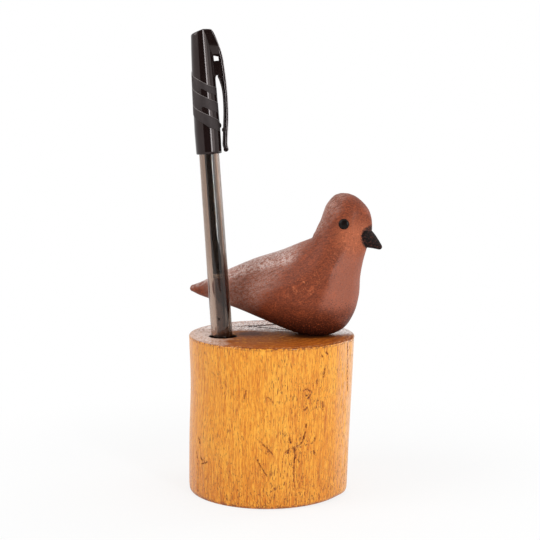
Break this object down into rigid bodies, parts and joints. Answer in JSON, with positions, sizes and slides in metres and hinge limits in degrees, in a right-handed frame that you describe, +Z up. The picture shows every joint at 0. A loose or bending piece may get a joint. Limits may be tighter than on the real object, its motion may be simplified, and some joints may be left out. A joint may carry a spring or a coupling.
{
  "type": "pen holder",
  "caption": "Varnished log-section pen holder with a drilled pen hole, a carved dove on top and a removable capped ballpoint pen.",
  "frame": {"origin": "middle of the block's foot, on the face it stands on", "axes": "+Z up, +X to the right as pictured, the way the dove faces, -Y to the front"},
  "size_m": [0.0762, 0.068, 0.1815],
  "materials": {
    "varnished_log": "golden varnish over vertical grain",
    "pale_dowel": "bare dowel",
    "stained_wood": "red-brown stain, satin varnish, knife facets",
    "black_wood": "black paint, worn",
    "black_bead": "gloss",
    "smoky_plastic": "clear smoky grey-brown",
    "smoky_plug": "dark smoky",
    "clear_tube": "clear, slightly milky",
    "dark_ink": "wet blue-black",
    "nickel_point": "nickel plated",
    "steel_ball": "polished",
    "black_gloss": "gloss black",
    "black_matte": "matte black, fine texture"
  },
  "bodies": {
    "holder": {"base_block": "varnished_log", "bird_dowel": "pale_dowel", "bird_body": "stained_wood", "bird_beak": "black_wood", "bird_eye_left": "black_bead", "bird_eye_right": "black_bead"},
    "pen": {"pen_barrel": "smoky_plastic", "pen_tail_plug": "smoky_plug", "refill_tube": "clear_tube", "ink_column": "dark_ink", "pen_nose_cone": "smoky_plug", "writing_point": "nickel_point"},
    "ball": {"writing_ball": "steel_ball"},
    "cap": {"cap_shell": "black_gloss", "cap_grip_band_upper": "black_matte", "cap_grip_band_middle": "black_matte", "cap_grip_band_lower": "black_matte"},
    "clip": {"pen_clip": "black_gloss"}
  },
  "joints": [
    {"name": "pen_lift", "type": "slide", "parent": "holder", "child": "pen", "axis": [-0.0655, 0, 0.9979], "range_m": [0, 0.045]},
    {"name": "cap_pull", "type": "slide", "parent": "pen", "child": "cap", "axis": [-0.0655, 0, 0.9979], "range_m": [0, 0.045]},
    {"name": "clip_flex", "type": "hinge", "parent": "cap", "child": "clip", "pos_m": [-0.01628, -0.0064, 0.16314], "axis": [0, -1, 0], "range_deg": [0, 4], "stiffness_Nm_per_rad": 0.1},
    {"name": "ball_roll", "type": "hinge", "parent": "pen", "child": "ball", "pos_m": [-0.02486, -0.0064, 0.16563], "axis": [0, 1, 0], "continuous": true}
  ]
}
